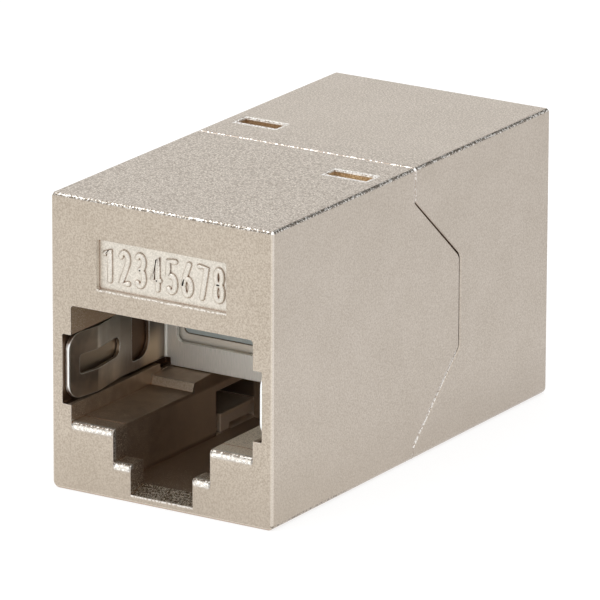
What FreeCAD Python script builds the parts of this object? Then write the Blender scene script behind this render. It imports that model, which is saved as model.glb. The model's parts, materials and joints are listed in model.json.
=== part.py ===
import FreeCAD, Part
import math
import os
from FreeCAD import Vector

# Shielded inline coupler: two equal die-cast halves, each with an 8-position modular
# socket, snapped together end to end around a link board.
#
# Frame: origin at the middle of the base, +X across, +Y from the front socket to the rear
# socket, +Z up.  Millimetres.  "Depth" is measured from a half's own socket face, and
# "reach" from the joint plane between the halves.  One half is modelled, with its socket
# facing -Y; the other half is the same set of pieces turned 180 degrees about Z.

# --- overall body
BODY_W = 14.4
BODY_L = 29.4
BODY_H = 17.0
BASE_R = 0.4            # long outer corners along the base
TOP_R = 0.22            # and along the top
FACE_R = 0.18           # edge around a socket face
JOINT_EASE = 0.08       # bevel on the outer edges where the halves meet
FIT = 0.05              # clearance between pieces that slide together

# --- walls
BASE_T = 0.8
TOP_T = 1.1
FACE_T = 1.3
SIDE_T = 0.7            # outside the spring pockets

# --- plug mouth, standard 8-position size
MOUTH_W = 11.84
MOUTH_H = 6.7
MOUTH_FLOOR_Z = 4.0
MOUTH_R = 0.2
LATCH_W = 6.34
LATCH_DROP = 1.85       # first step of the latch opening, below the mouth floor
KEY_W = 4.06            # second, narrow step
KEY_LIP_Z = 0.45        # its floor at the socket face, sloping up to the base wall
LEAD_R = 0.27           # rounded lead-in on the ledges
STEP_LEAD_R = 0.22
LIP_STEP = 0.02         # the ledges stand this much higher behind the face wall
RAMP_DEPTH = 8.0        # the ledges step up here to stop the plug's shoulders
RAMP_RUN = 0.2
RAMP_RISE = 0.5
STOP_RISE = 0.6

# --- side pockets for the shield clip's springs
POCKET_RISE = 0.96      # pocket floor above the mouth floor
POCKET_H = 4.03
POCKET_R = 0.1
HEEL_ROOM_L = 1.0       # lower stretch of the pocket at the clip's bend
HEEL_ROOM_R = 0.3

# --- shield clip, stamped spring steel
SHEET_T = 0.22
SHEET_BEND_R = 0.3
PANEL_BEND_R = 0.15
PANEL_DEPTH = 9.95
PANEL_TOP_GAP = 0.15
PANEL_WINDOW_W = 10.9
PANEL_WINDOW_RISE = 1.44
PANEL_WINDOW_TOP = 0.6
PANEL_WINDOW_R = 0.4
SPRING_NOSE_DEPTH = 0.25
SPRING_NOSE_GAP = 0.05  # nose to pocket wall
SPRING_CREASE_DEPTH = 2.65
SPRING_BOW = 0.35       # crease inwards of the spring's heel
SPRING_HEEL_DEPTH = 5.4
SPRING_CORNER_R = 0.95
SPRING_FOOT_GAP = 0.12
SPRING_HEAD_GAP = 0.15
SLOT_START_DEPTH = 1.15
SLOT_END_DEPTH = 5.35
SLOT_H = 1.15
CUTOUT_START_DEPTH = 6.55
CUTOUT_LENGTH = 1.75
CUTOUT_RISE = 0.55
CUTOUT_R = 1.0          # rear lower corner

# --- cast cross wall behind the clip
CROSS_GAP = 0.25
CROSS_T = 1.2
CROSS_SILL_RISE = 0.42  # its window sill above the clip's window sill
CROSS_R = 0.3

# --- side tongue and notch
TONGUE_REACH = 4.85
TONGUE_ROOT_RISE = 0.85 # lower root above the base
TONGUE_ROOT_DROP = 2.0  # upper root below the top
TONGUE_TIP_Z = (5.4, 10.75)
TONGUE_TIP_R = (0.3, 0.6)
TONGUE_GAP = 0.06
TONGUE_TIP_GAP = 0.12

# --- snap arms and their windows
SNAP_WALL_INSET = 0.25  # window to the inside of the side wall
SNAP_LATCH_INSET = 0.38 # top window to the side of the latch channel
SNAP_BASE_INSET = 0.05  # base window to the side of the latch channel
SNAP_REACH = 3.65       # far edge of the window from the joint plane
SNAP_WINDOW_L = 1.05
SNAP_ARM_T = 0.72
SNAP_WALL_GAP = 0.35    # arm to the wall it snaps into
SNAP_SINK = 0.4         # hook face below the outer surface
SNAP_SIDE_GAP = 0.08
SNAP_LEAD = 0.45
SNAP_POCKET_H = 2.6
SNAP_END_GAP = 0.6      # base pocket beyond the window
SNAP_ROOT_L = 1.6

# --- recessed label panel above the mouth
LABEL_W = 8.4
LABEL_H = 2.87
LABEL_RISE = 1.2
LABEL_T = 0.3
LABEL_R = 0.12

# --- contact insert
INSERT_W = 10.44
INSERT_RAIL_T = 0.6
INSERT_WEB_T = 1.7
INSERT_WEB_DROP = 0.6   # web underside below the contacts' straight run
INSERT_NOSE_SETBACK = 1.3
INSERT_BLOCK_SETBACK = 0.03
INSERT_BACK = 1.3       # back face from the joint plane
INSERT_PEG_R = 0.5
INSERT_PEG_X = 4.3
INSERT_PEG_RISE = (1.4, 3.8)
COMB_SLOT_W = 0.56
COMB_SLOT_DEPTH = 0.7
COMB_SLOT_RISE = 0.45

# --- spring contacts
CONTACTS = 8
CONTACT_PITCH = 1.02
CONTACT_W = 0.36
CONTACT_T = 0.28
CONTACT_BEND_R = 0.35
CONTACT_RUN_DROP = 2.65 # straight run below the ceiling
CONTACT_LOOP_DROP = 1.3
CONTACT_TIP_DROP = 2.75
TAIL_STAGGER = 1.0
TAIL_STAND_OUT = 0.5    # tail end beyond the far side of the board

# --- link board
BOARD_T = 0.8
BOARD_CORNER_R = 0.3

# --- levels and half widths that follow from the sizes above
MOUTH_TOP_Z = MOUTH_FLOOR_Z + MOUTH_H
LATCH_STEP_Z = MOUTH_FLOOR_Z - LATCH_DROP
STOP_Z = MOUTH_FLOOR_Z + STOP_RISE
CEILING_Z = BODY_H - TOP_T
POCKET_Z = MOUTH_FLOOR_Z + POCKET_RISE
CORE_X = BODY_W / 2 - SIDE_T
TONGUE_T = SIDE_T - FIT
CROSS_DEPTH = PANEL_DEPTH + SHEET_T + CROSS_GAP
PANEL_Z = STOP_Z + FIT
PANEL_WINDOW_Z = PANEL_Z + PANEL_WINDOW_RISE
SILL_Z = PANEL_WINDOW_Z + CROSS_SILL_RISE
INSERT_SEAT_X = INSERT_W / 2 + FIT
INSERT_PEG_Z = tuple(SILL_Z + rise for rise in INSERT_PEG_RISE)
SNAP_OUT_X = CORE_X - SNAP_WALL_INSET
SNAP_IN_X = LATCH_W / 2 + SNAP_LATCH_INSET
SNAP_BASE_IN_X = LATCH_W / 2 + SNAP_BASE_INSET
CONTACT_RUN_Z = CEILING_Z - CONTACT_RUN_DROP
WEB_Z = CONTACT_RUN_Z - INSERT_WEB_DROP
ARM_CLEAR_Z = CEILING_Z - SNAP_WALL_GAP - SNAP_ARM_T - 2 * FIT


def at(depth):
    """Y of a depth behind the front socket face."""
    return depth - BODY_L / 2


def place(axis, level, u, v):
    """Point (u, v) of a section plane at right angles to the axis."""
    return {"x": Vector(level, u, v), "y": Vector(u, level, v), "z": Vector(u, v, level)}[axis]


def outline(axis, level, points, radii):
    """Closed face through the points, each corner rounded by its own radius."""
    corners = []
    count = len(points)
    for i, (u, v) in enumerate(points):
        before = Vector(*points[i - 1], 0) - Vector(u, v, 0)
        after = Vector(*points[(i + 1) % count], 0) - Vector(u, v, 0)
        before.normalize()
        after.normalize()
        corner = Vector(u, v, 0)
        if radii[i] <= 0:
            corners.append((corner, corner, corner))
            continue
        half = before.getAngle(after) / 2
        tangent = radii[i] / math.tan(half)
        bisector = (before + after).normalize()
        crown = corner + bisector * (radii[i] / math.sin(half) - radii[i])
        corners.append((corner + before * tangent, crown, corner + after * tangent))
    edges = []
    for i, (start, crown, end) in enumerate(corners):
        following = corners[(i + 1) % count][0]
        a, b, c, d = (place(axis, level, p.x, p.y) for p in (start, crown, end, following))
        if (a - c).Length > 1e-7:
            edges.append(Part.Arc(a, b, c).toShape())
        edges.append(Part.LineSegment(c, d).toShape())
    return Part.Face(Part.Wire(edges))


def prism(axis, span, points, radii=0.0):
    """Solid of constant section along an axis; radii is one value or one for each point."""
    if not isinstance(radii, (list, tuple)):
        radii = [radii] * len(points)
    face = outline(axis, span[0], points, radii)
    return face.extrude(place(axis, span[1] - span[0], 0, 0))


def block(x, y, z):
    """Box from three (low, high) pairs."""
    return Part.makeBox(x[1] - x[0], y[1] - y[0], z[1] - z[0], Vector(x[0], y[0], z[0]))


def rectangle(u, v):
    """Corner points of a rectangle from two (low, high) pairs."""
    return [(u[0], v[0]), (u[1], v[0]), (u[1], v[1]), (u[0], v[1])]


def strip(points, thickness, bends):
    """Outline and corner radii of a sheet that follows a line; one inner radius a point."""
    left = []
    right = []
    left_r = []
    right_r = []
    for i, (point, bend) in enumerate(zip(points, bends)):
        p = Vector(*point, 0)
        ahead = Vector(*points[min(i + 1, len(points) - 1)], 0) - p
        behind = p - Vector(*points[max(i - 1, 0)], 0)
        if ahead.Length < 1e-9:
            ahead = behind
        if behind.Length < 1e-9:
            behind = ahead
        ahead = Vector(ahead).normalize()
        behind = Vector(behind).normalize()
        n1 = Vector(-behind.y, behind.x, 0)
        n2 = Vector(-ahead.y, ahead.x, 0)
        miter = (n1 + n2) * (thickness / 2 / (1 + n1.dot(n2)))
        turn = behind.cross(ahead).z
        left.append((p.x + miter.x, p.y + miter.y))
        right.append((p.x - miter.x, p.y - miter.y))
        left_r.append(0.0 if abs(turn) < 1e-6 else bend + (thickness if turn < 0 else 0.0))
        right_r.append(0.0 if abs(turn) < 1e-6 else bend + (thickness if turn > 0 else 0.0))
    return left + right[::-1], left_r + right_r[::-1]


def cut_all(solid, tools):
    """Solid less all the tools."""
    return solid.cut(tools[0].multiFuse(tools[1:]) if len(tools) > 1 else tools[0])


def turned(shape):
    """The same piece in the opposite half."""
    copy = shape.copy()
    copy.rotate(Vector(0, 0, 0), Vector(0, 0, 1), 180)
    return copy


# --------------------------------------------------------------------------- casting


def tongue_outline(gap, tip_gap):
    """Side tongue seen along X, grown by the gaps; it starts inside its own half."""
    low = TONGUE_ROOT_RISE
    high = BODY_H - TONGUE_ROOT_DROP
    tip_low, tip_high = TONGUE_TIP_Z
    root = -1.0
    reach = TONGUE_REACH + tip_gap
    slant = gap * math.sqrt(2)
    points = [
        (root, low - slant),
        (0, low - slant),
        (reach, tip_low - gap / 2),
        (reach, tip_high + gap / 2),
        (0, high + slant),
        (root, high + slant),
    ]
    radii = [0, 0, TONGUE_TIP_R[0] + gap, TONGUE_TIP_R[1] + gap, 0, 0]
    return points, radii


def shell():
    """Outer form of a half: rounded bar, tongue on +X, notch on -X, eased edges."""
    bar = prism(
        "y",
        (at(0), 0),
        rectangle((-BODY_W / 2, BODY_W / 2), (0, BODY_H)),
        [BASE_R, BASE_R, TOP_R, TOP_R],
    )
    rim = [e for e in bar.Edges if all(abs(v.Y - at(0)) < 1e-6 for v in e.Vertexes)]
    bar = bar.makeFillet(FACE_R, rim)
    points, radii = tongue_outline(0, 0)
    bar = bar.fuse(prism("x", (BODY_W / 2 - TONGUE_T, BODY_W / 2), points, radii))
    bar = bar.removeSplitter()
    points, radii = tongue_outline(TONGUE_GAP, TONGUE_TIP_GAP)
    notch = turned(prism("x", (CORE_X, BODY_W), points, radii))
    bar = bar.cut(notch.common(block((-BODY_W, 0), (-BODY_L, 0), (0, BODY_H))))
    return bar.makeChamfer(JOINT_EASE, joint_edges(bar))


def joint_edges(bar):
    """Outer edges of a half along the line where it meets the other half."""
    edges = []
    for edge in bar.Edges:
        middle = edge.valueAt((edge.FirstParameter + edge.LastParameter) / 2)
        at_skin = (
            abs(abs(middle.x) - BODY_W / 2) < 1e-6
            or middle.z < BASE_R
            or middle.z > BODY_H - TOP_R
        )
        across = max(v.Y for v in edge.Vertexes) - min(v.Y for v in edge.Vertexes)
        runs_back = min(v.Y for v in edge.Vertexes) < at(CROSS_DEPTH / 2)
        on_sides = abs(middle.x) < BODY_W / 2 - BASE_R and across > 1e-6
        if at_skin and not runs_back and not on_sides and middle.y > -TONGUE_REACH - 1:
            edges.append(edge)
    return edges


def lead_in(half_width, level, radius):
    """Waste left of a rounded lead-in along X, at the socket face."""
    corner = block(
        (-half_width, half_width),
        (at(0) - 1, at(0) + radius),
        (level - radius, level + FIT),
    )
    roller = Part.makeCylinder(
        radius,
        2 * half_width,
        Vector(-half_width, at(0) + radius, level - radius),
        Vector(1, 0, 0),
    )
    return corner.cut(roller)


def socket_cuts():
    """Mouth, stepped latch opening, latch channel and spring pockets of one socket."""
    mouth_x = MOUTH_W / 2
    latch_x = LATCH_W / 2
    key_x = KEY_W / 2
    out = at(0) - 1
    cross = at(CROSS_DEPTH)
    ramp_end = RAMP_DEPTH + RAMP_RUN
    ledge = MOUTH_FLOOR_Z + LIP_STEP
    floor = [
        (out, MOUTH_FLOOR_Z),
        (at(FACE_T), MOUTH_FLOOR_Z),
        (at(FACE_T), ledge),
        (at(RAMP_DEPTH), ledge),
        (at(ramp_end), MOUTH_FLOOR_Z + RAMP_RISE),
        (at(PANEL_DEPTH), STOP_Z),
        (cross, STOP_Z),
        (cross, MOUTH_TOP_Z),
        (out, MOUTH_TOP_Z),
    ]
    tunnel = prism("x", (-mouth_x, mouth_x), floor)
    mouth = prism(
        "y",
        (out, cross),
        rectangle((-mouth_x, mouth_x), (0, MOUTH_TOP_Z)),
        [0, 0, MOUTH_R, MOUTH_R],
    )
    pockets = prism(
        "y",
        (out, cross),
        rectangle((-CORE_X, CORE_X), (POCKET_Z, POCKET_Z + POCKET_H)),
        POCKET_R,
    )
    heel_room = prism(
        "x",
        (-CORE_X, CORE_X),
        rectangle((at(PANEL_DEPTH - HEEL_ROOM_L), cross), (STOP_Z, POCKET_Z + 2 * POCKET_R)),
        [HEEL_ROOM_R, 0, 0, 0],
    )
    latch = block((-latch_x, latch_x), (out, at(FACE_T)), (LATCH_STEP_Z, MOUTH_FLOOR_Z + FIT))
    key_profile = [
        (out, KEY_LIP_Z),
        (at(0), KEY_LIP_Z),
        (at(FACE_T), BASE_T),
        (at(FACE_T), LATCH_STEP_Z + FIT),
        (out, LATCH_STEP_Z + FIT),
    ]
    key = prism("x", (-key_x, key_x), key_profile)
    channel = block((-latch_x, latch_x), (at(FACE_T), 1), (BASE_T, STOP_Z))
    return [
        tunnel.common(mouth),
        pockets,
        heel_room,
        latch,
        key,
        channel,
        lead_in(mouth_x, MOUTH_FLOOR_Z, LEAD_R),
        lead_in(latch_x, LATCH_STEP_Z, STEP_LEAD_R),
    ]


def core_cuts():
    """Room behind the socket: insert chamber, cross wall window, core and label panel."""
    chamber_x = (-INSERT_SEAT_X, INSERT_SEAT_X)
    chamber = block(chamber_x, (at(FACE_T), at(CROSS_DEPTH)), (MOUTH_TOP_Z - FIT, CEILING_Z))
    window = prism(
        "y",
        (at(CROSS_DEPTH), at(CROSS_DEPTH + CROSS_T)),
        rectangle(chamber_x, (SILL_Z, CEILING_Z)),
        [CROSS_R, CROSS_R, 0, 0],
    )
    core = block((-CORE_X, CORE_X), (at(CROSS_DEPTH + CROSS_T), 1), (STOP_Z, CEILING_Z))
    low = MOUTH_TOP_Z + LABEL_RISE
    label = prism(
        "y",
        (at(0) - 1, at(LABEL_T)),
        rectangle((-LABEL_W / 2, LABEL_W / 2), (low, low + LABEL_H)),
        LABEL_R,
    )
    return [chamber, window, core, label]


def snap_cuts():
    """Top window on +X, base window on -X and room for the other half's arms."""
    window_y = (-SNAP_REACH, -SNAP_REACH + SNAP_WINDOW_L)
    top_window = block((SNAP_IN_X, SNAP_OUT_X), window_y, (CEILING_Z - 1, BODY_H + 1))
    base_window = block((-SNAP_OUT_X, -SNAP_BASE_IN_X), window_y, (-1, BASE_T + 1))
    base_pocket = block(
        (-CORE_X, -LATCH_W / 2 + FIT),
        (-SNAP_REACH - SNAP_END_GAP, 1),
        (BASE_T, BASE_T + SNAP_POCKET_H),
    )
    top_pocket = block(
        (SNAP_IN_X - FIT, CORE_X),
        (-SNAP_REACH - SNAP_SIDE_GAP, 1),
        (ARM_CLEAR_Z + FIT, CEILING_Z),
    )
    return [top_window, base_window, base_pocket, top_pocket]


def snap_arm(x, wall, outward):
    """Arm past the joint plane with a hook at its tip; wall is the inner wall level."""
    face = wall - outward * SNAP_WALL_GAP
    back = face - outward * SNAP_ARM_T
    skin = wall + outward * (TOP_T if outward > 0 else BASE_T)
    hook = skin - outward * SNAP_SINK
    tip = SNAP_REACH - SNAP_SIDE_GAP
    heel = SNAP_REACH - SNAP_WINDOW_L + SNAP_SIDE_GAP
    profile = [
        (-SNAP_ROOT_L, back),
        (tip, back),
        (tip, hook - outward * SNAP_LEAD),
        (tip - SNAP_LEAD / 2, hook),
        (heel, hook),
        (heel, face),
        (0, face),
        (0, wall + outward * FIT),
        (-SNAP_ROOT_L, wall + outward * FIT),
    ]
    inner, outer = sorted(x)
    return prism("x", (inner + SNAP_SIDE_GAP, outer - SNAP_SIDE_GAP), profile)


def make_housing():
    """One die-cast half with its two snap arms."""
    casting = cut_all(shell(), socket_cuts() + core_cuts() + snap_cuts())
    top_arm = snap_arm((-SNAP_OUT_X, -SNAP_IN_X), CEILING_Z, 1)
    base_arm = snap_arm((SNAP_BASE_IN_X, SNAP_OUT_X), BASE_T, -1)
    return casting.fuse([top_arm, base_arm]).removeSplitter()


# ----------------------------------------------------------------------- shield clip


def make_shield_clip():
    """U-shaped spring steel clip: cross panel with window and two side springs."""
    heel_x = CORE_X - FIT - SHEET_T / 2
    nose_x = CORE_X - SPRING_NOSE_GAP - SHEET_T / 2
    crease_x = heel_x - SPRING_BOW
    panel_y = at(PANEL_DEPTH + SHEET_T / 2)
    side = [
        (nose_x, at(SPRING_NOSE_DEPTH)),
        (crease_x, at(SPRING_CREASE_DEPTH)),
        (heel_x, at(SPRING_HEEL_DEPTH)),
        (heel_x, panel_y),
    ]
    bends = [0, SHEET_BEND_R, SHEET_BEND_R, PANEL_BEND_R]
    line = [(-x, y) for x, y in side] + side[::-1]
    points, radii = strip(line, SHEET_T, bends + bends[::-1])
    foot_z = POCKET_Z + SPRING_FOOT_GAP
    head_z = POCKET_Z + POCKET_H - SPRING_HEAD_GAP
    top_z = MOUTH_TOP_Z - PANEL_TOP_GAP
    blank = prism("z", (PANEL_Z, top_z), points, radii)
    back_y = at(PANEL_DEPTH + SHEET_T)
    springs = prism(
        "x",
        (-BODY_W, BODY_W),
        rectangle((at(SPRING_NOSE_DEPTH), back_y), (foot_z, head_z)),
        [SPRING_CORNER_R, 0, 0, SPRING_CORNER_R],
    )
    panel_x = MOUTH_W / 2 - FIT
    panel = block((-panel_x, panel_x), (at(PANEL_DEPTH), back_y), (PANEL_Z, top_z))
    clip = blank.common(springs).fuse(blank.common(panel)).removeSplitter()
    middle_z = (foot_z + head_z) / 2
    slot = prism(
        "x",
        (-BODY_W, BODY_W),
        rectangle(
            (at(SLOT_START_DEPTH), at(SLOT_END_DEPTH)),
            (middle_z - SLOT_H / 2, middle_z + SLOT_H / 2),
        ),
        [SHEET_T, SLOT_H * 0.49, SLOT_H * 0.49, SHEET_T],
    )
    cutout = prism(
        "x",
        (-BODY_W, BODY_W),
        rectangle(
            (at(CUTOUT_START_DEPTH), at(CUTOUT_START_DEPTH + CUTOUT_LENGTH)),
            (foot_z + CUTOUT_RISE, top_z + 1),
        ),
        [SHEET_T, CUTOUT_R, 0, 0],
    )
    window = prism(
        "y",
        (at(PANEL_DEPTH) - 1, back_y + 1),
        rectangle(
            (-PANEL_WINDOW_W / 2, PANEL_WINDOW_W / 2),
            (PANEL_WINDOW_Z, top_z - PANEL_WINDOW_TOP),
        ),
        PANEL_WINDOW_R,
    )
    return cut_all(clip, [slot, cutout, window])


# -------------------------------------------------------------------- contact insert


def contact_x(index):
    """X of a contact, counted from 1."""
    return (index - (CONTACTS + 1) / 2) * CONTACT_PITCH


def make_insert():
    """Moulded insert: comb block in the cross wall's window, grooved web and two rails."""
    half = INSERT_W / 2
    block_y = at(CROSS_DEPTH + INSERT_BLOCK_SETBACK)
    nose_y = at(FACE_T + INSERT_NOSE_SETBACK)
    web_top = WEB_Z + INSERT_WEB_T
    foot = SILL_Z + FIT
    comb = prism(
        "y",
        (block_y, -INSERT_BACK),
        rectangle((-half, half), (foot, web_top)),
        [CROSS_R, CROSS_R, 0, 0],
    )
    web = block((-half, half), (nose_y, block_y), (WEB_Z, web_top))
    rail_profile = [
        (at(FACE_T + FIT), MOUTH_TOP_Z + FIT),
        (block_y, MOUTH_TOP_Z + FIT),
        (block_y, foot + CROSS_R),
        (-BOARD_T / 2 - FIT, foot + CROSS_R),
        (-BOARD_T / 2 - FIT, ARM_CLEAR_Z),
        (at(CROSS_DEPTH), ARM_CLEAR_Z),
        (at(CROSS_DEPTH), CEILING_Z - FIT),
        (at(FACE_T + FIT), CEILING_Z - FIT),
    ]
    rails = [
        prism("x", (-half, -half + INSERT_RAIL_T), rail_profile),
        prism("x", (half - INSERT_RAIL_T, half), rail_profile),
    ]
    pegs = [
        Part.makeCylinder(
            INSERT_PEG_R,
            INSERT_BACK + BOARD_T / 2 + FIT,
            Vector(side * INSERT_PEG_X, -INSERT_BACK - FIT, level),
            Vector(0, 1, 0),
        )
        for side, level in zip((-1, 1), INSERT_PEG_Z)
    ]
    body = comb.fuse([web] + rails + pegs).removeSplitter()
    cuts = []
    for index in range(1, CONTACTS + 1):
        x = contact_x(index)
        slot_x = (x - COMB_SLOT_W / 2, x + COMB_SLOT_W / 2)
        slot_y = (block_y - FIT, block_y + COMB_SLOT_DEPTH)
        cuts.append(block(slot_x, slot_y, (SILL_Z + COMB_SLOT_RISE, WEB_Z)))
        groove_x = (x - CONTACT_W / 2 - FIT, x + CONTACT_W / 2 + FIT)
        groove_z = (CONTACT_RUN_Z - CONTACT_T / 2 - FIT, web_top + FIT)
        cuts.append(block(groove_x, (nose_y - FIT, -INSERT_BACK + FIT), groove_z))
    return cut_all(body, cuts)


# -------------------------------------------------------------------------- contacts


def tail_level(index):
    """Height of a contact's tail; neighbours are staggered."""
    return CONTACT_RUN_Z + (TAIL_STAGGER if index % 2 == 0 else 0.0)


def make_contact(index):
    """Flat spring wire: staggered tail, straight run, loop round the web's nose, beam."""
    loop_y = at(FACE_T + INSERT_NOSE_SETBACK / 2)
    low_z = CONTACT_RUN_Z - CONTACT_LOOP_DROP
    tip_y = at(CROSS_DEPTH + COMB_SLOT_DEPTH / 2)
    tail_end = BOARD_T / 2 + TAIL_STAND_OUT
    level = tail_level(index)
    path = [(tail_end, level)]
    if level > CONTACT_RUN_Z:
        jog_end = -INSERT_BACK - TAIL_STAGGER / 2
        path.append((jog_end, level))
        path.append((jog_end - TAIL_STAGGER, CONTACT_RUN_Z))
    path.append((loop_y, CONTACT_RUN_Z))
    path.append((loop_y, low_z))
    path.append((tip_y, MOUTH_TOP_Z - CONTACT_TIP_DROP))
    points, radii = strip(path, CONTACT_T, [CONTACT_BEND_R] * len(path))
    x = contact_x(index)
    return prism("x", (x - CONTACT_W / 2, x + CONTACT_W / 2), points, radii)


# ------------------------------------------------------------------------ link board


def make_link_board():
    """Board across the joint plane: a foot in the latch channels, slots for the tails."""
    wide = CORE_X - FIT
    foot = LATCH_W / 2 - FIT
    low = BASE_T + FIT
    shoulder = STOP_Z + FIT
    points = [
        (-foot, low),
        (foot, low),
        (foot, shoulder),
        (wide, shoulder),
        (wide, ARM_CLEAR_Z),
        (-wide, ARM_CLEAR_Z),
        (-wide, shoulder),
        (-foot, shoulder),
    ]
    corner = BOARD_CORNER_R
    radii = [corner, corner, 0, corner, corner, corner, corner, 0]
    board = prism("y", (-BOARD_T / 2, BOARD_T / 2), points, radii)
    holes = []
    slot_x = CONTACT_W / 2 + FIT
    slot_z = CONTACT_T / 2 + FIT
    for index in range(1, CONTACTS + 1):
        z = tail_level(index)
        for x in (-contact_x(index), contact_x(index)):
            holes.append(block(
                (x - slot_x, x + slot_x),
                (-BOARD_T, BOARD_T),
                (z - slot_z, z + slot_z),
            ))
    for side, level in zip((-1, 1), INSERT_PEG_Z):
        for turn in (-1, 1):
            spot = Vector(turn * side * INSERT_PEG_X, -BOARD_T, level)
            peg_hole = Part.makeCylinder(INSERT_PEG_R + FIT, 2 * BOARD_T, spot, Vector(0, 1, 0))
            holes.append(peg_hole)
    return cut_all(board, holes)


def main():
    """Every node, the pieces of a half first at the front and then at the rear."""
    half = {
        "housing": make_housing(),
        "shield_clip": make_shield_clip(),
        "contact_insert": make_insert(),
    }
    for index in range(1, CONTACTS + 1):
        half["contact_%d" % index] = make_contact(index)
    nodes = {"link_board": make_link_board()}
    for name, shape in half.items():
        nodes["front_" + name] = shape
        nodes["rear_" + name] = turned(shape)
    os.makedirs("parts", exist_ok=True)
    for name, shape in nodes.items():
        shape.exportStep("parts/%s.step" % name)
        print("%-24s %d solid, %.3f mm3, valid %s" % (
            name,
            len(shape.Solids),
            shape.Volume,
            shape.isValid(),
        ))


main()
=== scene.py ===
"""Looks of the shielded inline coupler, around the solids of its frame.

The two castings are sand-textured nickel, browner inside. The shield clips are spring
steel, the inserts pale plastic, the contacts gold over bronze. Every finish is drawn from
the place on the object, in millimetres, so nothing is unwrapped and no image is used.
"""
import json
import math

import bpy
from mathutils import Matrix, Vector


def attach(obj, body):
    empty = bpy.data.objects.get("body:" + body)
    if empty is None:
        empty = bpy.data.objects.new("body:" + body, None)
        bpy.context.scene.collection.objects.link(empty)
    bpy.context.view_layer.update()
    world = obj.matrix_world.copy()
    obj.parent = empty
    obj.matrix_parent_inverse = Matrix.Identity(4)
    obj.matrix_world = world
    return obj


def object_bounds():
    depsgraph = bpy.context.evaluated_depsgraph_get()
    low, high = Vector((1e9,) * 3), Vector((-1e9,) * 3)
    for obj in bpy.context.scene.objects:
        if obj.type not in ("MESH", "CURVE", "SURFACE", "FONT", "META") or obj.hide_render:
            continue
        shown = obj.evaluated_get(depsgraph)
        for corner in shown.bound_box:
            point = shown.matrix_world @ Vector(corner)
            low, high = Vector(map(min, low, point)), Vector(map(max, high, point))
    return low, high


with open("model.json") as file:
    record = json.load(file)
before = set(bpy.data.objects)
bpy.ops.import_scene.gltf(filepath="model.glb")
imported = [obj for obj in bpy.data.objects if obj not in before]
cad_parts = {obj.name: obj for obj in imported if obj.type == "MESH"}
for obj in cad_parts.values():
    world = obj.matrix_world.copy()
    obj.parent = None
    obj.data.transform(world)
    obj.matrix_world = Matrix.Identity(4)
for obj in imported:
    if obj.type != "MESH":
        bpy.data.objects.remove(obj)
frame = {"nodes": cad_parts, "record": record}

cad_lo, cad_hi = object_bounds()

MM = 0.001

# Size of the object in millimetres, from the frame. It stands on z = 0 and is centred on
# the joint of its halves: sockets face -Y and +Y.
HALF_W, HALF_L, TOP = (value / MM for value in cad_hi)

# Features of each casting, in millimetres. Depths run inwards from the nearer socket's
# face, X is measured either side of the middle, and Y either side of the joint.
FACE_WALL = 1.3             # thickness of the wall around the mouth
LABEL_DEPTH = 0.3
LABEL_HALF_W = 4.2
LABEL_Z = (11.9, 14.77)
WINDOW_X = (3.4, 6.4)       # snap window in the roof
WINDOW_Y = (2.4, 3.8)
WINDOW_BASE = 14.0          # its copper shade runs from here to this far below the roof
WINDOW_SILL = 0.12
TONGUE_Z = (0.85, 15.0)     # side tongue at the joint, and how steeply its lower edge climbs
TONGUE_SLOPE = 0.94
MOUTH_HALF_W = 5.92         # plug mouth, then the two steps of the latch opening below it
LATCH_HALF_W = 3.17
KEY_HALF_W = 2.03
LEDGE_Z = 4.0
STEP_Z = 2.15
KEY_Z = 0.45
LEAD_IN = 0.3               # rounding behind each lip, and the lip's height on the face
LIP_H = 0.5
RAMP_DEPTH = 8.0            # where the ledges step up to stop the plug
PANEL_DEPTH = 9.9           # where the shield clip's cross panel stands
POCKET_X = 6.25             # pockets for the clip's side springs
ARM_X = 3.4                 # snap arm at the base
ARM_Z = 1.87
ARM_END = 4.3
CONTACT_PITCH = 1.02


# ------------------------------------------------------------------ node helpers


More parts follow.
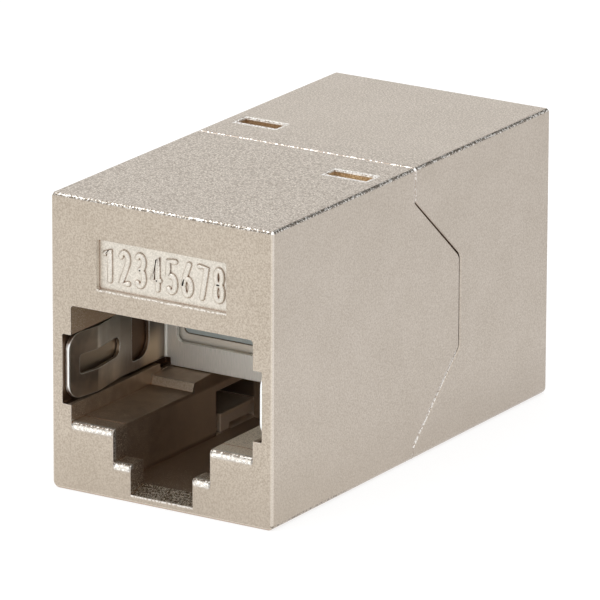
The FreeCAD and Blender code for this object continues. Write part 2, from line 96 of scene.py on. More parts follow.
class Nodes:
    """Short hand for building the node tree of one material or of the world."""

    def __init__(self, owner):
        owner.use_nodes = True
        self.tree = owner.node_tree
        self.tree.nodes.clear()

    def add(self, kind, **settings):
        node = self.tree.nodes.new(kind)
        for key, value in settings.items():
            setattr(node, key, value)
        return node

    def put(self, socket, value):
        """Links a socket, or sets a plain value."""
        if isinstance(value, bpy.types.NodeSocket):
            self.tree.links.new(value, socket)
        else:
            socket.default_value = value

    def math(self, operation, a, b=0.0, clamp=False):
        node = self.add("ShaderNodeMath", operation=operation, use_clamp=clamp)
        self.put(node.inputs[0], a)
        self.put(node.inputs[1], b)
        return node.outputs[0]

    def chain(self, operation, values):
        """One operation over any number of values, from the left."""
        result = values[0]
        for value in values[1:]:
            result = self.math(operation, result, value)
        return result

    def product(self, *values):
        return self.chain("MULTIPLY", values)

    def total(self, *values):
        return self.chain("ADD", values)

    def largest(self, *values):
        return self.chain("MAXIMUM", values)

    def less(self, a, b):
        return self.math("SUBTRACT", a, b)

    def rest(self, mask):
        """What a mask leaves out."""
        return self.less(1.0, mask)

    def step(self, value, low, high):
        """0 up to low and 1 from high, smooth between; the other way where low is higher."""
        node = self.add("ShaderNodeMapRange", interpolation_type="SMOOTHSTEP")
        self.put(node.inputs["Value"], value)
        node.inputs["From Min"].default_value = low
        node.inputs["From Max"].default_value = high
        return node.outputs[0]

    def under(self, value, level, soft=0.03):
        """1 below a level, softened over this much either side."""
        return self.rest(self.step(value, level - soft, level + soft))

    def between(self, value, low, high, soft=0.03):
        """1 between two levels, softened over this much either side of both."""
        rise = self.step(value, low - soft, low + soft)
        fall = self.step(value, high - soft, high + soft)
        return self.math("SUBTRACT", rise, fall, clamp=True)

    def blend(self, share, a, b):
        """Number a to number b."""
        node = self.add("ShaderNodeMix", data_type="FLOAT")
        self.put(node.inputs[0], share)
        self.put(node.inputs[2], a)
        self.put(node.inputs[3], b)
        return node.outputs[0]

    def mix(self, share, a, b):
        """Colour a to colour b."""
        node = self.add("ShaderNodeMix", data_type="RGBA")
        self.put(node.inputs[0], share)
        for socket, colour in ((node.inputs[6], a), (node.inputs[7], b)):
            if not isinstance(colour, bpy.types.NodeSocket):
                colour = (*colour, 1.0)
            self.put(socket, colour)
        return node.outputs[2]

    def scaled(self, vector, factors):
        node = self.add("ShaderNodeVectorMath", operation="MULTIPLY")
        self.put(node.inputs[0], vector)
        self.put(node.inputs[1], factors)
        return node.outputs[0]

    def position(self):
        """Place on the object in millimetres."""
        place = self.add("ShaderNodeTexCoord").outputs["Object"]
        return self.scaled(place, (1 / MM,) * 3)

    def split(self, vector):
        node = self.add("ShaderNodeSeparateXYZ")
        self.put(node.inputs[0], vector)
        return node.outputs[0], node.outputs[1], node.outputs[2]

    def noise(self, place, scale, detail=2.0, rough=0.5, stretch=(1, 1, 1)):
        """Noise from 0 to 1 with about this many features a millimetre."""
        node = self.add("ShaderNodeTexNoise")
        self.put(node.inputs["Vector"], self.scaled(place, stretch))
        node.inputs["Scale"].default_value = scale
        node.inputs["Detail"].default_value = detail
        node.inputs["Roughness"].default_value = rough
        return node.outputs["Fac"]

    def bump(self, height, distance, normal=None, strength=1.0):
        """Bump of a height from 0 to 1 over a distance in millimetres."""
        node = self.add("ShaderNodeBump")
        self.put(node.inputs["Height"], height)
        self.put(node.inputs["Strength"], strength)
        node.inputs["Distance"].default_value = distance * MM
        if normal is not None:
            self.put(node.inputs["Normal"], normal)
        return node.outputs[0]

    def eased(self, radius):
        """Normal with sharp edges eased by a radius in millimetres, and a mask of them."""
        bevel = self.add("ShaderNodeBevel", samples=6)
        bevel.inputs["Radius"].default_value = radius * MM
        true = self.add("ShaderNodeNewGeometry").outputs["True Normal"]
        dot = self.add("ShaderNodeVectorMath", operation="DOT_PRODUCT")
        self.put(dot.inputs[0], bevel.outputs[0])
        self.put(dot.inputs[1], true)
        edge = self.math("SUBTRACT", 1.0, dot.outputs["Value"], clamp=True)
        return bevel.outputs[0], edge

    def crevice(self, reach):
        """1 in corners where other faces stand within a reach in millimetres."""
        node = self.add("ShaderNodeAmbientOcclusion", samples=6, only_local=False)
        node.inputs["Distance"].default_value = reach * MM
        return self.rest(self.step(node.outputs["AO"], 0.45, 0.85))

    def surface(self, **inputs):
        """Principled shader joined to the output."""
        shader = self.add("ShaderNodeBsdfPrincipled")
        for name, value in inputs.items():
            self.put(shader.inputs[name.replace("_", " ")], value)
        output = self.add("ShaderNodeOutputMaterial")
        self.put(output.inputs["Surface"], shader.outputs[0])


# ---------------------------------------------------------------- castings: masks


class Casting:
    """Places, regions and noises of a casting, each a socket of its node tree."""


def mark_skin(n, m):
    """Outer planes, deep enough to take in their rounded rims, and the rims themselves."""
    m.flank = n.step(m.side, HALF_W - 0.18, HALF_W - 0.12)
    m.roof = n.step(m.z, TOP - 0.2, TOP - 0.14)
    m.face = n.rest(n.step(m.depth, 0.05, 0.07))
    sole = n.rest(n.step(m.z, 0.13, 0.2))
    m.skin = n.largest(m.flank, m.roof, sole, m.face)
    m.inside = n.rest(m.skin)

    # the joint counts as a plane too, but not where the tongue crosses it: two planes
    # make a rim, and three a tip
    tongue = n.product(m.flank, n.between(m.z, TONGUE_Z[0], TONGUE_Z[1]))
    m.near_joint = n.product(n.rest(n.step(m.end, 0.09, 0.16)), n.rest(tongue))
    near_face = n.rest(n.step(m.depth, 0.1, 0.18))
    planes = n.total(m.flank, m.roof, sole, near_face, m.near_joint)
    m.rim = n.step(planes, 1.5, 1.9)
    m.tips = n.product(m.roof, n.step(planes, 2.2, 2.6))


def mark_face(n, m):
    """Label recess, lips under the mouth and sills, all on the socket's face."""
    m.label = n.product(
        n.between(m.depth, 0.06, LABEL_DEPTH + 0.05, 0.02),
        n.under(m.side, LABEL_HALF_W + 0.02, 0.01),
        n.between(m.z, LABEL_Z[0] - 0.02, LABEL_Z[1] + 0.02, 0.01),
    )
    m.label_sill = n.product(
        m.face,
        n.under(m.side, LABEL_HALF_W, 0.02),
        n.between(m.z, LABEL_Z[0] - 0.09, LABEL_Z[0] + 0.02, 0.03),
    )
    m.key_sill = n.product(
        m.face,
        n.under(m.side, KEY_HALF_W, 0.02),
        n.between(m.z, KEY_Z - 0.09, KEY_Z + 0.02, 0.03),
    )
    # each lip rises from 0 at its foot to 1 at the ledge that it leads into
    ledge_lip = n.product(
        m.face,
        n.between(m.side, LATCH_HALF_W + 0.05, MOUTH_HALF_W - 0.05, 0.08),
        n.step(m.z, LEDGE_Z - LIP_H, LEDGE_Z),
        n.between(m.z, 1.0, LEDGE_Z + 0.1),
    )
    step_lip = n.product(
        m.face,
        n.between(m.side, KEY_HALF_W + 0.05, LATCH_HALF_W - 0.05, 0.08),
        n.between(m.z, 1.0, STEP_Z + 0.1),
        n.step(m.z, STEP_Z - LIP_H, STEP_Z),
    )
    m.lip = n.largest(ledge_lip, step_lip)


def mark_roof_and_flanks(n, m):
    """Snap windows and their rims, the tongue's lower seam, and the foot."""
    m.window = n.product(
        n.between(m.side, WINDOW_X[0], WINDOW_X[1]),
        n.between(m.end, WINDOW_Y[0], WINDOW_Y[1]),
        n.between(m.z, WINDOW_BASE, TOP - WINDOW_SILL, 0.05),
    )
    m.window_rim = n.product(
        n.step(m.z, TOP - 0.1, TOP - 0.05),
        m.right,
        n.between(m.side, WINDOW_X[0] + 0.03, WINDOW_X[1] - 0.03, 0.06),
        n.between(m.end, WINDOW_Y[0] - 0.06, WINDOW_Y[1] + 0.08, 0.06),
    )
    # the tongue's lower edge climbs along the flank from the joint
    along = n.product(m.y, n.math("SIGN", m.x))
    above_seam = n.less(n.less(m.z, TONGUE_Z[0]), n.product(along, TONGUE_SLOPE))
    m.seam = n.product(
        m.flank,
        n.between(above_seam, -0.17, 0.15, 0.03),
        n.between(along, 0.0, 4.6, 0.1),
    )
    m.foot = n.product(m.flank, n.between(m.z, 0.1, 0.3, 0.05), n.step(along, -4.0, -9.0))


def mark_inside(n, m):
    """Lead-ins, ledges, walls and pockets inside the socket, and the snap arm below."""
    m.key_lip = n.product(
        m.inside,
        n.under(m.depth, FACE_WALL, 0.01),
        n.under(m.side, KEY_HALF_W, 0.01),
        n.between(m.z, 0.3, 0.9, 0.02),
    )
    m.lead_in = n.product(
        m.inside,
        n.under(m.depth, LEAD_IN, 0.04),
        n.between(m.z, 1.9, LEDGE_Z + 0.1, 0.02),
    )
    m.tool_line = n.product(
        m.inside,
        n.between(m.depth, FACE_WALL - 0.02, FACE_WALL + 0.02, 0.005),
        n.between(m.z, LEDGE_Z - 0.02, LEDGE_Z + 0.03, 0.01),
    )
    # the right ledge, which is brighter than the left one
    m.sunlit = n.product(
        m.inside,
        m.right,
        n.between(m.z, LEDGE_Z - 0.1, LEDGE_Z + 0.1, 0.02),
        n.under(m.depth, RAMP_DEPTH),
    )
    m.ramp = n.product(
        m.inside,
        n.between(m.depth, RAMP_DEPTH, RAMP_DEPTH + 0.25, 0.04),
        n.between(m.z, 3.9, 4.6, 0.02),
    )
    m.pocket = n.product(
        m.inside,
        n.step(m.side, POCKET_X - 0.1, POCKET_X),
        n.step(m.z, 2.0, 2.1),
    )
    m.mouth_wall = n.product(
        m.inside,
        n.between(m.side, MOUTH_HALF_W - 0.12, POCKET_X, 0.02),
        n.step(m.z, 8.9, 9.1),
        n.under(m.depth, PANEL_DEPTH),
    )
    m.cross_wall = n.product(
        m.inside,
        n.step(m.depth, PANEL_DEPTH + 0.3, PANEL_DEPTH + 0.4),
        n.step(m.z, 5.8, 6.0),
    )
    near_arm = n.under(m.end, ARM_END, 0.02)
    m.arm = n.product(
        m.inside,
        n.between(m.side, ARM_X - 0.2, POCKET_X + 0.1, 0.02),
        n.between(m.z, 0.7, ARM_Z + 0.05, 0.02),
        near_arm,
    )
    m.arm_edge = n.product(
        n.between(m.side, 3.0, ARM_X + 0.1, 0.02),
        n.between(m.z, ARM_Z - 0.22, ARM_Z + 0.05, 0.03),
        near_arm,
    )
    m.arm_room = n.product(
        m.inside,
        n.step(m.side, 3.22, 3.26),
        n.between(m.z, ARM_Z, LEDGE_Z - 0.1, 0.02),
        near_arm,
    )


def casting_masks(n):
    """Places, regions and noises of a casting; both halves share them."""
    m = Casting()
    place = n.position()
    m.x, m.y, m.z = n.split(place)
    m.side = n.math("ABSOLUTE", m.x)
    m.end = n.math("ABSOLUTE", m.y)
    m.depth = n.less(HALF_L, m.end)
    # the front half's right, and the same place of the rear half, which is turned round
    m.right = n.math("LESS_THAN", n.product(m.x, m.y), 0.0)
    mark_skin(n, m)
    mark_face(n, m)
    mark_roof_and_flanks(n, m)
    mark_inside(n, m)
    m.speckled = n.largest(m.lead_in, n.step(m.lip, 0.02, 0.2))
    m.sandy = n.largest(m.skin, m.speckled, m.ramp, m.key_lip, m.arm_edge)

    # noises, from the finest to the widest
    m.fine = n.noise(place, 22.0, 1.0, 0.5)
    m.grain = n.noise(place, 11.0, 2.0, 0.6)
    m.medium = n.noise(place, 7.5, 1.0, 0.5)
    m.coarse = n.noise(place, 7.0, 2.0, 0.6)
    m.patch = n.noise(place, 1.4, 2.0, 0.5)
    m.cloud = n.noise(place, 0.35, 3.0, 0.55)
    return m


# -------------------------------------------------------------- castings: colours

DARK_METAL = (0.20, 0.17, 0.14)


def skin_colour(n, m):
    """Sand-textured nickel: strongest grain on the roof's front, with painted shade towards
    the foot.
    """
    colour = n.mix(n.step(m.cloud, 0.3, 0.7), (0.486, 0.420, 0.349), (0.516, 0.448, 0.377))
    gritty = n.product(m.roof, n.blend(n.step(m.y, -3.0, 5.0), 1.0, 0.35))
    calm = n.blend(m.flank, 0.42, 0.32)
    light = n.product(n.step(m.grain, 0.35, 0.75), n.blend(gritty, calm, 1.0))
    shade = n.product(n.step(m.grain, 0.62, 0.2), n.blend(gritty, calm, 0.9))
    pitted = n.product(n.step(m.medium, 0.56, 0.36), gritty, 0.7)
    colour = n.mix(light, colour, n.mix(m.roof, (0.70, 0.64, 0.56), (0.85, 0.79, 0.71)))
    colour = n.mix(shade, colour, (0.27, 0.22, 0.18))
    colour = n.mix(pitted, colour, (0.30, 0.25, 0.20))
    # painted shade: darker towards the foot
    return n.mix(n.product(n.step(m.z, 4.5, 0.5), 0.35), colour, (0.40, 0.34, 0.28))


def inside_colour(n, m):
    """Brown plating of the socket, tinted region by region, with painted light deep in the
    latch channel, on the snap arm and on the cross wall, and bright dust near the face.
    """
    colour = n.mix(n.step(m.patch, 0.35, 0.7), (0.42, 0.32, 0.24), (0.49, 0.38, 0.29))
    low = n.rest(n.step(m.z, 3.7, 3.9))
    # painted light: below the ledge, the walls grow paler deeper into the latch channel
    colour = n.mix(n.product(low, n.step(m.depth, 4.0, 9.0)), colour, (0.86, 0.72, 0.58))
    colour = n.mix(n.product(n.step(m.z, 1.1, 0.9), 0.6), colour, (0.24, 0.16, 0.11))
    colour = n.mix(m.arm_room, colour, (0.24, 0.17, 0.12))
    # painted light: the snap arm is painted pale where little light reaches it
    colour = n.mix(m.arm, colour, (0.97, 0.84, 0.70))
    sunlit = n.mix(n.step(m.grain, 0.35, 0.6), (0.60, 0.52, 0.42), (0.90, 0.80, 0.68))
    colour = n.mix(m.sunlit, colour, sunlit)
    colour = n.mix(m.mouth_wall, colour, (0.47, 0.34, 0.24))
    # painted light: the cross wall behind the clip's panel is painted near white
    colour = n.mix(m.cross_wall, colour, (0.95, 0.90, 0.82))

    low_rim = n.product(n.step(m.depth, 1.9, 0.9), low)
    colour = n.mix(n.product(low_rim, 0.6), colour, (0.24, 0.18, 0.13))
    near_face = n.product(n.step(m.depth, 1.5, 1.3), 0.06)
    specks = n.step(n.total(m.fine, near_face), 0.64, 0.72)
    specks = n.product(specks, n.step(m.depth, 7.0, 2.0))
    powder = n.product(n.step(m.grain, 0.53, 0.63), low_rim, 0.7)
    dust = n.largest(specks, powder)
    colour = n.mix(n.product(dust, 0.8), colour, (0.98, 0.88, 0.76))
    colour = n.mix(m.ramp, colour, n.mix(m.grain, (0.20, 0.16, 0.12), (0.56, 0.48, 0.39)))
    return n.mix(m.tool_line, colour, (0.12, 0.09, 0.07))


def feature_colours(n, m, colour):
    """Lips with a painted highlight, arm edges in painted light, pockets in painted shade,
    label recess, and snap windows partly in painted light, laid over a colour.
    """
    # the lips are pale with dark specks: the specks are texture, the pale ground is a painted
    # highlight
    row = n.product(m.lead_in, n.between(m.depth, 0.04, 0.16, 0.03))
    row = n.product(n.largest(row, 0.45), n.step(m.coarse, 0.58, 0.47))
    dotted = n.mix(row, (0.88, 0.86, 0.81), (0.14, 0.10, 0.07))
    colour = n.mix(n.product(m.speckled, 0.85), colour, dotted)
    grit = n.total(n.product(m.fine, 0.6), n.product(m.medium, 0.4))
    pits = n.mix(n.step(grit, 0.49, 0.56), (0.13, 0.09, 0.055), (1.0, 0.93, 0.82))
    colour = n.mix(n.product(m.key_lip, 0.85), colour, pits)
    # painted light: the snap arm's edge is painted pale
    colour = n.mix(m.arm_edge, colour, (0.95, 0.80, 0.64))
    # painted shade: the spring pockets are nearly black, lighter between 1.2 and 5.8 mm in
    deep = n.between(m.depth, 1.2, 5.8, 0.3)
    colour = n.mix(m.pocket, colour, n.mix(deep, (0.13, 0.08, 0.05), (0.46, 0.37, 0.28)))
    tone = n.step(m.grain, 0.35, 0.7)
    silver = n.mix(tone, (0.62, 0.58, 0.52), (0.80, 0.75, 0.68))
    colour = n.mix(m.label, colour, silver)
    # copper in the snap windows, brightened with painted light; darker in the rear half
    copper = n.mix(tone, (0.47, 0.31, 0.17), (0.80, 0.66, 0.44))
    rear = n.product(n.step(m.y, -1.0, 1.0), 0.5)
    return n.mix(m.window, colour, n.mix(rear, copper, (0.36, 0.21, 0.11)))


def edge_colours(n, m, colour, nickel):
    """Painted highlights on the rims, dark painted reflections among them on the roof, broken
    painted highlights along seams, sills and window rims, white painted highlights at the
    tips, and dark dashes at the foot.
    """
    # painted highlight: the upright rims are painted lighter
    upright_highlight = n.product(m.rim, n.rest(m.roof), 0.3)
    colour = n.mix(upright_highlight, colour, (0.86, 0.80, 0.73))
    # painted highlights and dark painted reflections, broken into dots, along the roof's rims
    # and the joint
    broken = n.largest(m.roof, n.product(m.near_joint, 0.5))
    rim_reflections = n.mix(n.step(m.coarse, 0.48, 0.60), DARK_METAL, (0.88, 0.86, 0.82))
    colour = n.mix(n.product(m.rim, broken, 0.85), colour, rim_reflections)
    # painted highlights, broken, along the label and key sills, the window rims and the
    # tongue's seam
    sills = n.product(n.largest(m.label_sill, m.key_sill), 0.7)
    haloed = n.product(n.largest(m.window_rim, m.seam, sills), 0.9)
    halo = n.mix(n.step(m.coarse, 0.42, 0.54), nickel, (0.98, 0.97, 0.94))
    colour = n.mix(haloed, colour, halo)
    # painted highlights at the tips, where three planes meet
    colour = n.mix(n.product(m.tips, 0.9), colour, (0.98, 0.97, 0.95))
    dashes = n.product(n.step(m.coarse, 0.52, 0.44), m.foot)
    return n.mix(dashes, colour, DARK_METAL)


def casting_metal(n, m):
    """How metallic each region is: less deeper inside, on the mouth's walls, and on the
    regions painted with light or highlights.
    """
    inside = n.blend(n.step(m.depth, 7.0, 12.0), 0.93, 0.72)
    metal = n.blend(m.skin, inside, 1.0)
    for mask, level in (
        (m.mouth_wall, 0.85),
        (m.arm, 0.45),
        (m.cross_wall, 0.2),
        (m.window, 0.55),
        (n.largest(m.tips, m.seam), 0.4),
        (m.sunlit, 0.8),
    ):
        metal = n.blend(mask, metal, level)
    return metal


def cast_nickel():
    """Sand-textured nickel outside, browner inside, copper in the snap windows, with painted
    light and shade inside and painted highlights on rims and edges.
    """
    material = bpy.data.materials.new("cast_nickel_finish")
    n = Nodes(material)
    m = casting_masks(n)

    nickel = skin_colour(n, m)
    colour = n.mix(m.skin, inside_colour(n, m), nickel)
    colour = feature_colours(n, m, colour)
    colour = edge_colours(n, m, colour, nickel)
    # brown tarnish in corners and along the marks, with painted shade there too
    tarnish_and_shade = n.mix(m.label, (0.34, 0.20, 0.12), (0.24, 0.12, 0.06))
    colour = n.mix(n.product(n.crevice(0.14), 0.85), colour, tarnish_and_shade)
    normal, edge = n.eased(0.05)
    # lighter eased edges on the skin: partly wear, partly a painted highlight
    wear_and_highlight = n.product(n.step(edge, 0.02, 0.2), n.step(m.fine, 0.4, 0.6), m.skin, 0.5)
    colour = n.mix(wear_and_highlight, colour, (0.95, 0.92, 0.88))

    rough = n.blend(n.step(m.grain, 0.3, 0.7), 0.44, 0.36)
    rough = n.blend(m.rim, rough, 0.2)
    rough = n.blend(m.sandy, 0.4, rough)
    rough = n.blend(m.label, rough, 0.38)

    # heights in millimetres: sand, then the lips and the window's rim rounded off
    sand = n.product(n.rest(m.label), m.sandy, n.blend(m.rim, 1.0, 0.35))
    relief = n.total(n.product(m.fine, 0.006), n.product(m.grain, 0.016))
    relief = n.product(relief, n.blend(sand, 0.35, 1.0))
    relief = n.less(relief, n.product(m.lip, LIP_H / 2))
    relief = n.less(relief, n.product(m.window_rim, 0.05))
    normal = n.bump(relief, 1.0, normal)
    n.surface(
        Base_Color=colour,
        Metallic=casting_metal(n, m),
        Roughness=rough,
        Normal=normal,
    )
    return material


# ---------------------------------------------------------------- other materials


def spring_steel():
    """Stamped stainless sheet: the cross panel painted bright as lit, the springs in painted
    shade towards the back.
    """
    material = bpy.data.materials.new("spring_steel_finish")
    n = Nodes(material)
    place = n.position()
    _, y, z = n.split(place)
    depth = n.less(HALF_L, n.math("ABSOLUTE", y))
    panel = n.step(depth, PANEL_DEPTH - 0.1, PANEL_DEPTH)
    nose = n.rest(n.step(depth, 0.33, 0.4))
    brush = n.noise(place, 4.0, 3.0, 0.6, (5.0, 5.0, 0.35))
    cloud = n.noise(place, 0.7, 2.0, 0.5)
    brushed = n.step(brush, 0.3, 0.7)

    # painted shade: the springs darken inwards, most at the top, and are warmer low down by
    # the panel
    shade_inwards = n.step(depth, 3.6, 7.0)
    shaded = n.product(n.between(depth, 2.9, 7.0, 0.4), n.step(z, 6.0, 7.6), 0.75)
    shade_at_back = n.product(n.step(depth, 8.1, 8.6), n.blend(n.step(z, 5.5, 7.5), 0.1, 0.85))
    warm = n.product(n.between(depth, 7.6, 9.4, 0.4), n.rest(n.step(z, 6.0, 7.4)), 0.7)
    dull = n.mix(n.step(cloud, 0.35, 0.65), (0.44, 0.39, 0.34), (0.70, 0.61, 0.52))
    dull = n.mix(shade_inwards, dull, n.mix(brushed, (0.22, 0.18, 0.15), (0.32, 0.27, 0.23)))
    dull = n.mix(shaded, dull, DARK_METAL)
    dull = n.mix(shade_at_back, dull, (0.08, 0.065, 0.05))
    dull = n.mix(warm, dull, (0.62, 0.46, 0.31))

    # painted light: the cross panel is painted bright, and the nose carries a painted
    # highlight
    bright = n.mix(brushed, (0.88, 0.91, 0.88), (1.0, 1.0, 0.98))
    colour = n.mix(nose, n.mix(panel, dull, bright), (0.97, 0.99, 1.0))
    normal, edge = n.eased(0.07)
    # painted highlight along the eased edges of the sheet
    highlit_edge = n.step(edge, 0.02, 0.2)
    colour = n.mix(n.product(highlit_edge, 0.8), colour, (0.97, 0.96, 0.93))
    rough = n.blend(panel, n.blend(n.step(brush, 0.35, 0.65), 0.28, 0.38), 0.5)
    metal = n.blend(highlit_edge, n.blend(panel, 1.0, 0.75), 0.5)
    normal = n.bump(brush, 0.003, normal, 0.6)
    n.surface(Base_Color=colour, Metallic=metal, Roughness=rough, Normal=normal)
    return material


def insert_plastic():
    """Pale blue-grey moulded plastic with a fine spark-eroded texture."""
    material = bpy.data.materials.new("insert_plastic_finish")
    n = Nodes(material)
    place = n.position()
    cloud = n.noise(place, 1.2, 2.0, 0.5)
    grain = n.noise(place, 18.0, 2.0, 0.5)
    colour = n.mix(n.step(cloud, 0.3, 0.7), (0.52, 0.60, 0.62), (0.60, 0.67, 0.68))
    normal, _ = n.eased(0.04)
    normal = n.bump(grain, 0.003, normal, 0.7)
    n.surface(Base_Color=colour, Roughness=n.blend(grain, 0.38, 0.5), Normal=normal)
    return material


def contact_gold():
    """Gold flash over bronze wire, with drawn lines along it."""
    material = bpy.data.materials.new("contact_gold_finish")
    n = Nodes(material)
    drawn = n.noise(n.position(), 6.0, 2.0, 0.5, (6.0, 0.4, 0.4))
    colour = n.mix(n.step(drawn, 0.3, 0.7), (0.86, 0.60, 0.22), (0.96, 0.74, 0.36))
    rough = n.blend(drawn, 0.18, 0.3)
    normal, _ = n.eased(0.03)
    normal = n.bump(drawn, 0.002, normal, 0.5)
    n.surface(Base_Color=colour, Metallic=1.0, Roughness=rough, Normal=normal)
    return material


def board():
    """Brown phenolic paper board with its fibres under a dull lacquer."""
    material = bpy.data.materials.new("board_finish")
    n = Nodes(material)
    fibre = n.noise(n.position(), 3.0, 2.0, 0.5, (3.0, 1.0, 0.5))
    colour = n.mix(n.step(fibre, 0.3, 0.7), (0.18, 0.12, 0.075), (0.25, 0.17, 0.11))
    normal = n.bump(fibre, 0.004, None, 0.5)
    n.surface(Base_Color=colour, Roughness=n.blend(fibre, 0.4, 0.55), Normal=normal)
    return material


def dress(materials):
    """Gives every node of the frame the finish of its slot."""
    for part in frame["record"]["subparts"]:
        mesh = frame["nodes"][part["node"]].data
        if not mesh.materials:
            mesh.materials.append(None)
        for i in range(len(mesh.materials)):
            mesh.materials[i] = materials[part["material_slot"]]


# ------------------------------------------------------------------ raised marks

MARK_COUNT = 8          # one number for each contact
MARK_HEIGHT = 2.1       # millimetres
MARK_WIDTH = 0.82
MARK_STROKE = 0.17      # half the width of a stroke
BOWL_SHARE = 0.53       # height of a lower bowl's half, as a share of half the digit
TIP = 0.02              # smallest ring of a rounded end, as a share of the stroke
RING_POINTS = 10
CAP_RINGS = 3
ARC_STEP = math.radians(15)
SAME_PLACE = 1e-6


def arc(centre, radii, start, end):
    """Points of an elliptic arc in the plane of the label, angles in degrees."""
    a, b = math.radians(start), math.radians(end)
    count = max(2, round(abs(b - a) / ARC_STEP))
    return [
        (centre[0] + radii[0] * math.cos(a + (b - a) * i / count),
         centre[1] + radii[1] * math.sin(a + (b - a) * i / count))
        for i in range(count + 1)
    ]


def digit(number):
    """Strokes of a plain digit from 1 to 8, centred on the origin."""
    w = MARK_WIDTH / 2 - MARK_STROKE
    h = MARK_HEIGHT / 2 - MARK_STROKE
    bowl = h * BOWL_SHARE
    crown = h - bowl
    upper = (0, h - crown)
    lower = (0, bowl - h)
    waist = 2 * bowl - h
    return {
        1: [[(-w, h - w), (w * 0.3, h), (w * 0.3, -h)]],
        2: [arc(upper, (w, crown), 160, -35) + [(-w, -h), (w, -h)]],
        3: [arc(upper, (w, crown), 140, -90), arc(lower, (w, bowl), 90, -140)],
        4: [[(w * 0.5, -h), (w * 0.5, h), (-w, -h * 0.4), (w, -h * 0.4)]],
        5: [[(w, h), (-w * 0.8, h), (-w, waist)] + arc(lower, (w, bowl), 120, -140)],
        6: [arc(lower, (w, bowl), 0, 360),
            [(w * 0.5, h), (-w * 0.6, waist * 3), (-w, -h * 0.4)]],
        7: [[(-w, h), (w, h), (-w * 0.3, -h)]],
        8: [arc(upper, (w * 0.88, crown), 0, 360), arc(lower, (w, bowl), 0, 360)],
    }[number]


def stroke_mesh(verts, faces, points, closed):
    """Adds a round-ended cord along points (x, z) of the label's plane."""
    count = len(points)
    rings = []

    def heading(i):
        before = points[(i - 1) % count] if closed or i > 0 else points[i]
        after = points[(i + 1) % count] if closed or i < count - 1 else points[i]
        return (Vector(after) - Vector(before)).normalized()

    def ring(point, direction, size):
        across = Vector((direction.y, -direction.x))
        rings.append(len(verts))
        for k in range(RING_POINTS):
            angle = 2 * math.pi * k / RING_POINTS
            flat = Vector(point) + across * (math.cos(angle) * size)
            verts.append((flat.x, math.sin(angle) * size, flat.y))

    def cap_ring(point, direction, outward, angle):
        place = Vector(point) + direction * (outward * MARK_STROKE * math.sin(angle))
        ring(place, direction, MARK_STROKE * max(math.cos(angle), TIP))

    caps = [math.pi / 2 * k / CAP_RINGS for k in range(1, CAP_RINGS + 1)]
    if not closed:
        for angle in reversed(caps):
            cap_ring(points[0], heading(0), -1, angle)
    for i in range(count):
        ring(points[i], heading(i), MARK_STROKE)
    if not closed:
        for angle in caps:
            cap_ring(points[-1], heading(count - 1), 1, angle)

    pairs = list(zip(rings, rings[1:]))
    if closed:
        pairs.append((rings[-1], rings[0]))
    for a, b in pairs:
        for k in range(RING_POINTS):
            m = (k + 1) % RING_POINTS
            faces.append((a + k, a + m, b + m, b + k))
    if not closed:
        faces.append(tuple(rings[0] + k for k in reversed(range(RING_POINTS))))
        faces.append(tuple(rings[-1] + k for k in range(RING_POINTS)))


def position_marks(name, material, turn):
    """Contact numbers 1 to 8 above their contacts, raised in the label recess."""
    verts, faces = [], []
    for number in range(1, MARK_COUNT + 1):
        shift = (number - (MARK_COUNT + 1) / 2) * CONTACT_PITCH
        for stroke in digit(number):
            closed = (Vector(stroke[0]) - Vector(stroke[-1])).length < SAME_PLACE
            line = stroke[:-1] if closed else stroke
            stroke_mesh(verts, faces, [(px + shift, pz) for px, pz in line], closed)
    mesh = bpy.data.meshes.new(name)
    mesh.from_pydata(verts, [], faces)
    floor_y = -(HALF_L - LABEL_DEPTH)
    middle_z = (LABEL_Z[0] + LABEL_Z[1]) / 2
    place = Matrix.Translation((0, floor_y * MM, middle_z * MM)) @ Matrix.Scale(MM, 4)
    mesh.transform(Matrix.Rotation(turn, 4, "Z") @ place)
    for polygon in mesh.polygons:
        polygon.use_smooth = True
    piece = bpy.data.objects.new(name, mesh)
    bpy.context.scene.collection.objects.link(piece)
    piece.data.materials.append(material)
    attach(piece, "root")


# ------------------------------------------------------------- floor, light, camera

WHITE = (1, 1, 1, 1)

FLOOR_SIZE = 4.0                        # metres
FLOOR_GREY = (0.3, 0.3, 0.3, 1)
FLOOR_GLOW = 0.75                       # makes plain white with the lit grey
FLOOR_SHADE = (0.7, 0.8)                # where the glow stops, in mm in from the base's edges

# Strengths of the world: the white tent, its two flags and the panel over the front
TENT = 1.15
HIGH_FLAG = 0.05
LOW_FLAG = 0.85
PANEL = 1.8

KEY_PLACE = (-0.127, -0.074, 0.21)      # metres
KEY_TARGET = (0, 0, 0.01)
KEY_SIZE = 0.07
KEY_POWER = 0.06                        # watts

# Camera, in degrees and millimetres: aim is the point of the object it is set from,
# slide is how far it stands left and down of the line to that point.
CAMERA_AZIMUTH = 32.11
CAMERA_ELEVATION = 17.13
CAMERA_ROLL = 0.21
CAMERA_DISTANCE = 429.7
CAMERA_AIM = (0, 0, 8)
CAMERA_SLIDE = (0.262, -0.187)
CAMERA_LENS = 460.032
CAMERA_SENSOR = 36.0
CAMERA_CLIP = (0.01, 10.0)              # metres


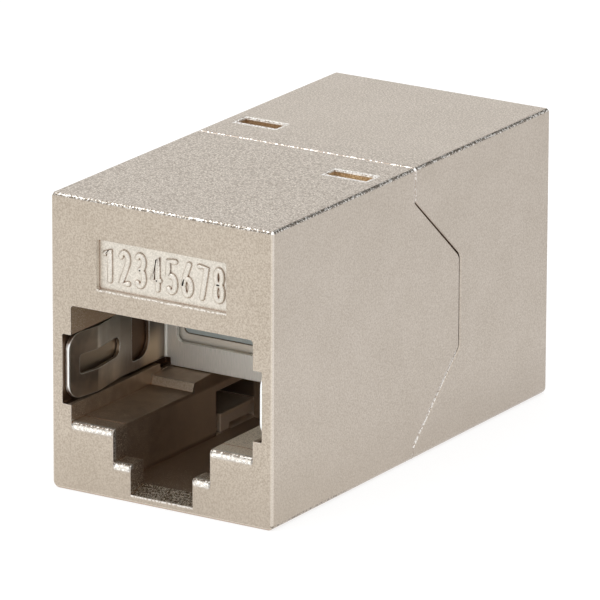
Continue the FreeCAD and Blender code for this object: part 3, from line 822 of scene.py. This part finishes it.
def floor_material():
    """Plain white to the camera; to the object a tinted glow that stops under its base."""
    material = bpy.data.materials.new("floor_white")
    n = Nodes(material)
    x, y, _ = n.split(n.position())
    covered = n.product(
        n.between(x, FLOOR_SHADE[0] - HALF_W, HALF_W - FLOOR_SHADE[0], 0.1),
        n.between(y, FLOOR_SHADE[1] - HALF_L, HALF_L - FLOOR_SHADE[1], 0.1),
    )
    warm_to_cool = n.step(n.total(x, y), -30.0, 30.0)
    tint = n.mix(warm_to_cool, (1.0, 0.985, 0.94), (0.97, 0.99, 1.03))
    falloff = n.product(
        n.blend(n.step(y, -5.0, 60.0), 1.04, 0.84),
        n.blend(n.step(x, -40.0, -5.0), 0.92, 1.05),
    )
    level = n.product(falloff, n.blend(covered, FLOOR_GLOW, 0.0))
    seen = n.add("ShaderNodeLightPath").outputs["Is Camera Ray"]
    glow = n.add("ShaderNodeEmission")
    n.put(glow.inputs["Color"], n.mix(seen, tint, WHITE[:3]))
    n.put(glow.inputs["Strength"], n.blend(seen, level, FLOOR_GLOW))
    diffuse = n.add("ShaderNodeBsdfDiffuse")
    diffuse.inputs["Color"].default_value = FLOOR_GREY
    both = n.add("ShaderNodeAddShader")
    n.put(both.inputs[0], diffuse.outputs[0])
    n.put(both.inputs[1], glow.outputs[0])
    output = n.add("ShaderNodeOutputMaterial")
    n.put(output.inputs["Surface"], both.outputs[0])
    return material


def make_floor():
    """White sheet under the object, with a light contact shadow."""
    mesh = bpy.data.meshes.new("floor")
    half = FLOOR_SIZE / 2
    corners = [(-half, -half, 0), (half, -half, 0), (half, half, 0), (-half, half, 0)]
    mesh.from_pydata(corners, [], [(0, 1, 2, 3)])
    floor = bpy.data.objects.new("floor", mesh)
    bpy.context.scene.collection.objects.link(floor)
    mesh.materials.append(floor_material())


def make_world():
    """White tent with two flags and a bright panel over the front.

    The dark flag is high at the back and the faint one low at the back right. Each is
    placed by the parts of the direction that a ray looks in, from -1 to 1.
    """
    world = bpy.data.worlds.new("studio")
    bpy.context.scene.world = world
    n = Nodes(world)
    direction = n.add("ShaderNodeTexCoord").outputs["Generated"]
    x, y, up = n.split(direction)
    high_flag = n.product(
        n.between(up, 0.41, 0.61, 0.03),
        n.step(x, -0.46, -0.38),
        n.step(y, 0.35, 0.45),
    )
    low_flag = n.product(
        n.between(up, 0.02, 0.38, 0.03),
        n.step(x, 0.28, 0.42),
        n.step(y, 0.5, 0.6),
    )
    panel = n.product(n.between(up, 0.70, 0.86, 0.02), n.rest(n.step(y, -0.1, 0.1)))
    level = n.blend(high_flag, TENT, HIGH_FLAG)
    level = n.blend(low_flag, level, LOW_FLAG)
    level = n.blend(panel, level, PANEL)
    studio = n.add("ShaderNodeBackground")
    studio.inputs["Color"].default_value = WHITE
    n.put(studio.inputs["Strength"], level)
    white = n.add("ShaderNodeBackground")
    white.inputs["Color"].default_value = WHITE
    chooser = n.add("ShaderNodeMixShader")
    n.put(chooser.inputs[0], n.add("ShaderNodeLightPath").outputs["Is Camera Ray"])
    n.put(chooser.inputs[1], studio.outputs[0])
    n.put(chooser.inputs[2], white.outputs[0])
    output = n.add("ShaderNodeOutputWorld")
    n.put(output.inputs["Surface"], chooser.outputs[0])


def soft_box(name, place, target, size, power):
    """Square area lamp, in metres and watts."""
    data = bpy.data.lights.new(name, "AREA")
    data.size = size
    data.energy = power
    lamp = bpy.data.objects.new(name, data)
    lamp.location = place
    aim = Vector(target) - Vector(place)
    lamp.rotation_euler = aim.to_track_quat("-Z", "Y").to_euler()
    bpy.context.scene.collection.objects.link(lamp)


def make_camera():
    """Camera at the photograph's viewing angle."""
    azimuth = math.radians(CAMERA_AZIMUTH)
    elevation = math.radians(CAMERA_ELEVATION)
    roll = math.radians(CAMERA_ROLL)
    back = Vector((
        math.sin(azimuth) * math.cos(elevation),
        -math.cos(azimuth) * math.cos(elevation),
        math.sin(elevation),
    ))
    right = Vector((math.cos(azimuth), math.sin(azimuth), 0))
    up = back.cross(right)
    right, up = (
        right * math.cos(roll) + up * math.sin(roll),
        up * math.cos(roll) - right * math.sin(roll),
    )
    place = Vector(CAMERA_AIM) + back * CAMERA_DISTANCE
    place -= right * CAMERA_SLIDE[0] + up * CAMERA_SLIDE[1]
    data = bpy.data.cameras.new("camera")
    data.sensor_width = CAMERA_SENSOR
    data.lens = CAMERA_LENS
    data.clip_start, data.clip_end = CAMERA_CLIP
    camera = bpy.data.objects.new("camera", data)
    turn = Matrix((right, up, back)).transposed().to_4x4()
    camera.matrix_world = Matrix.Translation(place * MM) @ turn
    bpy.context.scene.collection.objects.link(camera)
    bpy.context.scene.camera = camera


# -------------------------------------------------------------------------- scene

finishes = {
    "cast_nickel": cast_nickel(),
    "spring_steel": spring_steel(),
    "insert_plastic": insert_plastic(),
    "contact_gold": contact_gold(),
    "board": board(),
}
dress(finishes)
position_marks("front_position_marks", finishes["cast_nickel"], 0.0)
position_marks("rear_position_marks", finishes["cast_nickel"], math.pi)

make_floor()
make_world()
soft_box("key", KEY_PLACE, KEY_TARGET, KEY_SIZE, KEY_POWER)
make_camera()

bpy.context.scene.view_settings.view_transform = "Standard"
